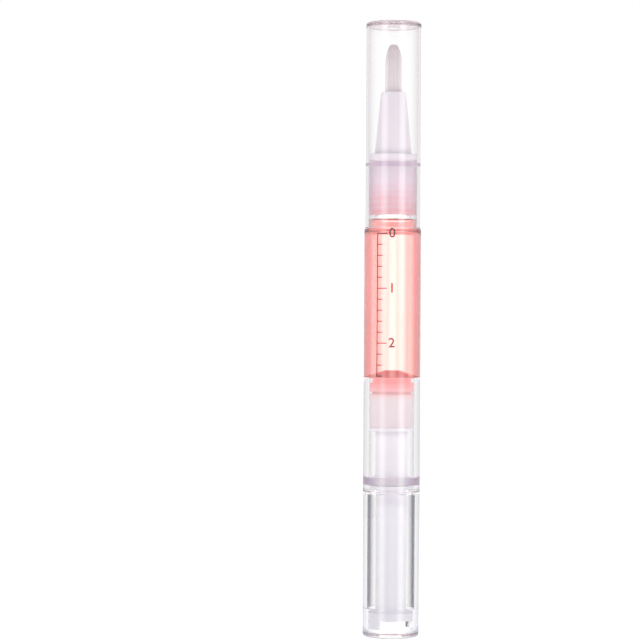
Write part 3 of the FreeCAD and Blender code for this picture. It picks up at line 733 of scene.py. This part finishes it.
class OILPEN_OT_nozzle(Operator):
    """Make the milky nozzle"""

    bl_idname = "oil_pen.nozzle"
    bl_label = "Nozzle"

    FLANGE_ROUND = 0.2 * MM
    CONE_ROUND = 0.4 * MM
    OIL_GAP = 0.01 * MM
    SOCKET_GAP = 0.02 * MM
    # The stain starts above the oil in the shank, is full above its foot, and drifts between
    STAIN_ABOVE_OIL = 6 * MM
    STAIN_ABOVE_FOOT = 3 * MM
    STAIN_DRIFT = 7 * MM
    RIB_SPACING = 1.4 * MM

    def execute(self, context):
        sizes, colours, _ = settings()
        flange = radius_of("nozzle")
        foot, tip = heights_of("nozzle")
        shank = flange - sizes.neck_wall + sizes.shank_contact
        bore = radius_of("nozzle_oil") + self.OIL_GAP
        flange_top = tip - sizes.cone_length
        flange_foot = flange_top - sizes.flange_height
        socket_floor = tip - sizes.socket_depth
        socket = sizes.brush_root / 2 + self.SOCKET_GAP
        stain_top = heights_of("nozzle_oil")[1] + self.STAIN_ABOVE_OIL
        milk = milky_plastic(
            "natural_polypropylene", colours.nozzle, colours.nozzle_stain, stain_top, foot + self.STAIN_ABOVE_FOOT,
            self.STAIN_DRIFT, 0.0, rings=self.RIB_SPACING
        )
        piece = turned("nozzle_cone", [
            (bore, foot),
            (shank, foot),
            (shank, flange_foot),
            (flange, flange_foot),
            (flange, flange_top, self.FLANGE_ROUND),
            (flange - sizes.flange_step, flange_top, self.CONE_ROUND),
            (sizes.nozzle_tip / 2, tip, sizes.nozzle_tip_round),
            (socket, tip),
            (socket, socket_floor),
            (sizes.passage / 2, socket_floor),
            (sizes.passage / 2, socket_floor - sizes.passage_length),
            (bore, flange_foot),
        ], milk)
        dress(piece, "barrel", "nozzle")
        return {"FINISHED"}


class OILPEN_OT_brush(Operator):
    """Make the brush, bristle by bristle, and finish its root and feed tube"""

    bl_idname = "oil_pen.brush"
    bl_label = "Brush"

    SEED = 7
    # Sides of a bristle, and places along it
    SIDES = 6
    STATIONS = 9
    LEAN = 0.6
    TAPER = 0.6
    # Stations stand closer together towards the tip
    CROWDING = 0.7
    JITTER = 0.1
    TRIM = 0.25 * MM
    # How far the bundle stays inside its solid
    INSET = 0.02 * MM
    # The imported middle: its share of the disc, its depth under the outer bristles and the dome, and its mesh
    CORE = 0.3
    CORE_BRISTLES = 2.5
    CORE_DROP = 0.3 * MM
    CORE_STEPS = 12
    CORE_SIDES = 48

    def execute(self, context):
        sizes, _, _ = settings()
        chance = random.Random(self.SEED)
        widest = radius_of("bristles") - self.INSET
        foot, tip = heights_of("bristles")
        nozzle_tip = heights_of("nozzle")[1]
        dome_foot = tip - sizes.dome_length
        root = sizes.brush_root / 2
        thick = sizes.bristle / 2
        bm = bmesh.new()
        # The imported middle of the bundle
        waist = widest - self.CORE_BRISTLES * thick
        stem = root - 2 * thick
        core = [Vector((0.0, foot)), Vector((stem, foot)), Vector((stem, nozzle_tip))]
        for k in range(self.CORE_STEPS + 1):
            a = math.pi / 2 * k / self.CORE_STEPS
            core.append(Vector((waist * math.cos(a), dome_foot + (sizes.dome_length - self.CORE_DROP) * math.sin(a))))
        core[-1].x = 0.0
        turn_into(bm, core, self.CORE_SIDES)
        for n in range(sizes.bristle_count):
            # Even spread over the disc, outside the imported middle
            share = math.sqrt(self.CORE + (1 - self.CORE) * (n + 0.5) / sizes.bristle_count)
            angle = n * math.pi * (3 - math.sqrt(5)) + chance.uniform(-self.JITTER, self.JITTER)
            # The dome is trimmed from bristles that lean inwards
            width = share * (1 - self.LEAN) / (1 - self.LEAN * share)
            end = dome_foot + sizes.dome_length * math.sqrt(1 - width ** 2) - chance.uniform(0.0, self.TRIM)
            stations = []
            for k in range(self.STATIONS):
                t = k / (self.STATIONS - 1)
                z = foot + (end - foot) * t ** self.CROWDING
                swell = root
                if z > nozzle_tip:
                    rise = min(1.0, (z - nozzle_tip) / (dome_foot - nozzle_tip))
                    swell += (widest - root) * math.sin(rise * math.pi / 2)
                dome = math.sqrt(1 - max(0.0, (z - dome_foot) / sizes.dome_length) ** 2)
                away = share * (swell * (1 - self.LEAN + self.LEAN * dome) - thick)
                centre = Vector((away * math.cos(angle), away * math.sin(angle), z))
                stations.append((centre, thick * (1 - self.TAPER * t ** 4)))
            self.add_bristle(bm, stations)
        nylon = nylon_filament()
        piece = new_object("brush_bristles", bm, nylon)
        dress(piece, "barrel", "bristles")
        finish_node("bristle_root", nylon)
        finish_node("feed_tube", nylon)
        return {"FINISHED"}

    def add_bristle(self, bm, stations):
        rings = []
        for centre, radius in stations:
            ring = []
            for side in range(self.SIDES):
                a = math.tau * side / self.SIDES
                ring.append(bm.verts.new(centre + Vector((radius * math.cos(a), radius * math.sin(a), 0.0))))
            rings.append(ring)
        for low, high in zip(rings, rings[1:]):
            for side in range(self.SIDES):
                after = (side + 1) % self.SIDES
                bm.faces.new((low[side], low[after], high[after], high[side]))
        bm.faces.new(rings[0][::-1])
        bm.faces.new(rings[-1])


class OILPEN_OT_oil(Operator):
    """Make the oil, which the piston squeezes towards the nozzle"""

    bl_idname = "oil_pen.oil"
    bl_label = "Oil"

    MENISCUS_STEPS = 16

    def execute(self, context):
        sizes, _, _ = settings()
        oil = cosmetic_oil()
        bore = radius_of("barrel") - sizes.barrel_wall
        neck_bore = radius_of("nozzle") - sizes.neck_wall
        foot = heights_of("oil_column")[0] - sizes.oil_contact
        shoulder = heights_of("barrel")[1] - sizes.shoulder_drop
        bore_end = shoulder - sizes.shoulder_height
        top = heights_of("nozzle")[0] - sizes.oil_headspace
        groove = radius_of("piston") - sizes.groove_depth
        touch = sizes.oil_contact
        column = turned("oil_fill", [
            (0.0, foot + sizes.piston_crown),
            (sizes.crown_diameter / 2, foot + sizes.piston_crown),
            (groove, foot),
            (bore + touch, foot),
            (bore + touch, bore_end, sizes.bore_round),
            (neck_bore + touch, bore_end + sizes.bore_taper, sizes.bore_round),
            *self.meniscus(neck_bore + touch, top),
        ], oil)
        dress(column, "barrel", "oil_column")
        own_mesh(column)
        finish_node("nozzle_oil", oil)
        return {"FINISHED"}

    def meniscus(self, wall, brim):
        """The oil climbs the wall and sags in the middle."""
        sizes, _, _ = settings()
        radii = [wall * (1 - k / self.MENISCUS_STEPS) for k in range(self.MENISCUS_STEPS + 1)]
        return [
            (r, brim - sizes.meniscus * (1 - math.exp((r - wall) / sizes.meniscus_reach)), 0.0) for r in radii
        ]


class OILPEN_OT_piston(Operator):
    """Make the two-lip piston"""

    bl_idname = "oil_pen.piston"
    bl_label = "Piston"

    # Where the screw's head snaps in: radius of the hole, the web above it, and the pocket for the head
    HOLE = 1.35 * MM
    WEB = 1.3 * MM
    POCKET = 2.05 * MM
    POCKET_HEIGHT = 2.5 * MM
    STAIN_DROP = 1.0 * MM
    STAIN_DRIFT = 1.2 * MM

    def execute(self, context):
        sizes, colours, _ = settings()
        lip = radius_of("piston")
        foot, crown_top = heights_of("piston")
        foot -= sizes.skirt_reach
        top = crown_top - sizes.piston_crown
        skirt = lip - sizes.skirt_relief
        groove = lip - sizes.groove_depth
        lip_foot = top - sizes.lip_height
        second_top = lip_foot - sizes.lip_groove
        second_foot = second_top - sizes.second_lip
        skirt_top = second_foot - sizes.second_groove
        hollow = skirt - sizes.skirt_thickness
        roof = foot + sizes.skirt_depth
        web_top = roof + self.WEB
        pocket_top = web_top + self.POCKET_HEIGHT
        soft = milky_plastic(
            "soft_polyethylene", colours.piston, colours.piston_stain, skirt_top - self.STAIN_DROP,
            top - self.STAIN_DROP, self.STAIN_DRIFT, 0.0
        )
        piece = turned("piston_plug", [
            (hollow, foot),
            (skirt, foot),
            (skirt, skirt_top),
            (groove, skirt_top),
            (groove, second_foot),
            (lip, second_foot),
            (lip, second_top),
            (groove, second_top),
            (groove, lip_foot),
            (lip, lip_foot),
            (lip, top),
            (groove, top),
            (sizes.crown_diameter / 2, crown_top),
            (0.0, crown_top),
            (0.0, pocket_top),
            (self.POCKET, pocket_top),
            (self.POCKET, web_top),
            (self.HOLE, web_top),
            (self.HOLE, roof),
            (hollow, roof),
        ], soft)
        dress(piece, "piston", "piston")
        return {"FINISHED"}


class OILPEN_OT_drive(Operator):
    """Finish the nut, drive tube, screw and click ring"""

    bl_idname = "oil_pen.drive"
    bl_label = "Drive"

    # The ring's painted light, a lighter colour than the nut's, fades out just above the click ring
    FADE_TOP = 0.8 * MM
    FADE_FOOT = 0.2 * MM
    # Share of the light that soaks in
    SOAK = 0.2

    def execute(self, context):
        _, colours, _ = settings()
        ring = heights_of("click_ring")[1]
        # The nut's ring gets painted light, and its sides get painted shade
        nut = milky_plastic(
            "acetal_nut", colours.nut, colours.nut_ring, ring + self.FADE_TOP, ring + self.FADE_FOOT, 0.0, self.SOAK,
            side_shade=colours.nut_side_shade
        )
        finish_node("screw_nut", nut)
        drive = milky_plastic("acetal_drive", colours.drive, colours.drive, 0.0, MM, 0.0, self.SOAK)
        for node in ("drive_tube", "lead_screw", "click_ring"):
            finish_node(node, drive)
        return {"FINISHED"}


class OILPEN_OT_stage(Operator):
    """Set up the white floor, the lamps and the camera"""

    bl_idname = "oil_pen.stage"
    bl_label = "Stage"

    BOUNCES = 48
    DIFFUSE_BOUNCES = 24
    CLEAR_BOUNCES = 16
    FLOOR_RADIUS = 0.35
    FLOOR_DROP = 0.02 * MM
    # What the white room gives to matt surfaces, and what gloss mirrors of it
    DAYLIGHT = 0.58
    MIRRORED = 0.75
    # Lit cards: place, half width, end below the oil's top, rise of their light, half width of its core, strength
    CARD_AWAY = 0.045
    CARD_HALF = 0.0195
    CARD_DROP = 1.7 * MM
    CARD_FADE = 2.5 * MM
    CARD_CORE = 3 * MM
    CARD_GLOW = 3.6
    CARDS = (("back", 0.0), ("left", 90.0), ("front", 180.0), ("right", 270.0))
    # Tall panels: place and size, and the turn and strength of each
    STRIP_AWAY = 0.22
    STRIP_HALF = 0.088
    STRIP_FOOT = -0.2
    STRIP_TOP = 0.3
    STRIPS = (("right", 38.0, 4.0), ("left", -38.0, 3.6), ("back", 180.0, 2.5))
    # Lamps: where they stand, and the power of each in watts
    LAMPS = (("key_panel", (0.4, -0.5, 0.35), 0.42), ("fill_panel", (-0.4, -0.5, 0.35), 0.25))
    LAMP_SIZE = (0.4, 0.6)
    LAMP_AIM = Vector((0.0, 0.0, 0.07))
    CLIP_START = 0.01

    def execute(self, context):
        _, _, stage = settings()
        scene = context.scene
        scene.view_settings.view_transform = "Standard"
        scene.cycles.max_bounces = self.BOUNCES
        scene.cycles.transmission_bounces = self.BOUNCES
        scene.cycles.glossy_bounces = self.BOUNCES
        scene.cycles.diffuse_bounces = self.DIFFUSE_BOUNCES
        scene.cycles.transparent_max_bounces = self.CLEAR_BOUNCES
        scene.cycles.blur_glossy = 0.0
        self.add_floor()
        self.add_world(scene)
        self.add_lamps()
        self.add_cards()
        self.add_strips()
        self.add_camera(scene, stage)
        return {"FINISHED"}

    def add_floor(self):
        bm = bmesh.new()
        bmesh.ops.create_circle(bm, cap_ends=True, segments=96, radius=self.FLOOR_RADIUS)
        floor = new_object("paper_floor", bm, paper_sweep())
        floor.location.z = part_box("knob")[0][2] - self.FLOOR_DROP
        floor.visible_glossy = False

    def add_world(self, scene):
        world = bpy.data.worlds.new("studio_white")
        scene.world = world
        world.use_nodes = True
        tree = world.node_tree
        tree.nodes.clear()
        path = add_node(tree, "ShaderNodeLightPath").outputs
        lit = ramp(tree, path["Diffuse Depth"], 0.0, 1.0, 1.0, self.DAYLIGHT)
        mirrored = ramp(tree, path["Is Glossy Ray"], 0.0, 1.0, lit, self.MIRRORED)
        level = ramp(tree, path["Is Transmission Ray"], 0.0, 1.0, mirrored, lit)
        sky = add_node(tree, "ShaderNodeBackground", {"Color": WHITE, "Strength": level})
        add_node(tree, "ShaderNodeOutputWorld", {"Surface": sky.outputs["Background"]})

    def stand_panel(self, name, material, half, away, low, high, turn, ray):
        """Stands a flat panel beside the pen that only one kind of ray sees."""
        bm = bmesh.new()
        corners = ((-half, low), (half, low), (half, high), (-half, high))
        bm.faces.new([bm.verts.new((x, away, z)) for x, z in corners])
        panel = new_object(name, bm, material)
        panel.rotation_euler.z = math.radians(turn)
        for kind in ("camera", "diffuse", "glossy", "transmission", "shadow"):
            setattr(panel, f"visible_{kind}", kind == ray)

    def add_cards(self):
        """Small lit cards round the pen, at the oil's height, that only show through it and give it its pale core.

        Their light starts at the piston, so it leaves the emptied bore as the piston rises.
        """
        foot, top = heights_of("oil_column")
        low = foot - self.CARD_FADE
        material, tree, place = new_material("lit_card")
        aside = calc(tree, "ABSOLUTE", part_of(tree, place, "X"))
        plug = add_node(tree, "ShaderNodeTexCoord", object=bpy.data.objects["piston_plug"])
        above = part_of(tree, plug.outputs["Object"], "Z")
        peak = ramp(tree, above, low, foot, 1.0, self.CARD_GLOW, "SMOOTHSTEP")
        level = ramp(tree, aside, self.CARD_CORE, self.CARD_HALF, peak, 1.0, "SMOOTHSTEP")
        glow = add_node(tree, "ShaderNodeEmission", {"Color": (1.0, 1.0, 0.96, 1.0), "Strength": level})
        add_node(tree, "ShaderNodeOutputMaterial", {"Surface": glow.outputs["Emission"]})
        for side, turn in self.CARDS:
            self.stand_panel(
                f"lit_card_{side}", material, self.CARD_HALF, self.CARD_AWAY, low, top - self.CARD_DROP, turn,
                "transmission"
            )

    def add_strips(self):
        """Tall panels that only gloss mirrors: they draw the soft bright bands along the pen."""
        for side, turn, strength in self.STRIPS:
            name = f"strip_panel_{side}"
            material, tree, place = new_material(name)
            aside = calc(tree, "ABSOLUTE", part_of(tree, place, "X"))
            level = ramp(tree, aside, 0.0, self.STRIP_HALF, strength, self.MIRRORED, "SMOOTHSTEP")
            glow = add_node(tree, "ShaderNodeEmission", {"Strength": level})
            add_node(tree, "ShaderNodeOutputMaterial", {"Surface": glow.outputs["Emission"]})
            self.stand_panel(
                name, material, self.STRIP_HALF, -self.STRIP_AWAY, self.STRIP_FOOT, self.STRIP_TOP, turn, "glossy"
            )

    def add_lamps(self):
        """Two wide soft lamps in front, the right one stronger."""
        for name, place, power in self.LAMPS:
            lamp = bpy.data.lights.new(name, "AREA")
            lamp.shape = "RECTANGLE"
            lamp.size, lamp.size_y = self.LAMP_SIZE
            lamp.energy = power
            holder = bpy.data.objects.new(name, lamp)
            holder.location = place
            holder.rotation_euler = (self.LAMP_AIM - Vector(place)).to_track_quat("-Z", "Y").to_euler()
            holder.visible_camera = False
            holder.visible_glossy = False
            bpy.context.scene.collection.objects.link(holder)

    def add_camera(self, scene, stage):
        camera = bpy.data.cameras.new("photo_camera")
        camera.angle = stage.view_angle
        camera.clip_start = self.CLIP_START
        holder = bpy.data.objects.new("photo_camera", camera)
        holder.location = (-stage.aside, -stage.distance, stage.height)
        level = Matrix.Rotation(math.pi / 2, 4, "X")
        holder.rotation_euler = (level @ Matrix.Rotation(stage.roll, 4, "Z")).to_euler()
        scene.collection.objects.link(holder)
        scene.camera = holder


class OILPEN_PT_panel(Panel):
    """Lists the pen's pieces and its settings"""

    bl_idname = "OILPEN_PT_panel"
    bl_label = "Nail Oil Pen"
    bl_space_type = "VIEW_3D"
    bl_region_type = "UI"
    bl_category = "Oil Pen"

    def draw(self, context):
        column = self.layout.column()
        for operator in OPERATORS:
            column.operator(operator.bl_idname)
        for group in settings():
            box = self.layout.box()
            for name in group.__annotations__:
                box.prop(group, name)


OPERATORS = (
    OILPEN_OT_cap,
    OILPEN_OT_barrel,
    OILPEN_OT_scale,
    OILPEN_OT_knob,
    OILPEN_OT_nozzle,
    OILPEN_OT_brush,
    OILPEN_OT_oil,
    OILPEN_OT_piston,
    OILPEN_OT_drive,
    OILPEN_OT_stage,
)
CLASSES = (PenSizes, PenColours, PenStage, *OPERATORS, OILPEN_PT_panel)


def register():
    for item in CLASSES:
        bpy.utils.register_class(item)
    bpy.types.Scene.oil_pen_sizes = PointerProperty(type=PenSizes)
    bpy.types.Scene.oil_pen_colours = PointerProperty(type=PenColours)
    bpy.types.Scene.oil_pen_stage = PointerProperty(type=PenStage)


def unregister():
    del bpy.types.Scene.oil_pen_stage
    del bpy.types.Scene.oil_pen_colours
    del bpy.types.Scene.oil_pen_sizes
    for item in reversed(CLASSES):
        bpy.utils.unregister_class(item)


def main():
    register()
    for operator in OPERATORS:
        group, name = operator.bl_idname.split(".")
        getattr(getattr(bpy.ops, group), name)()


if __name__ == "__main__":
    main()
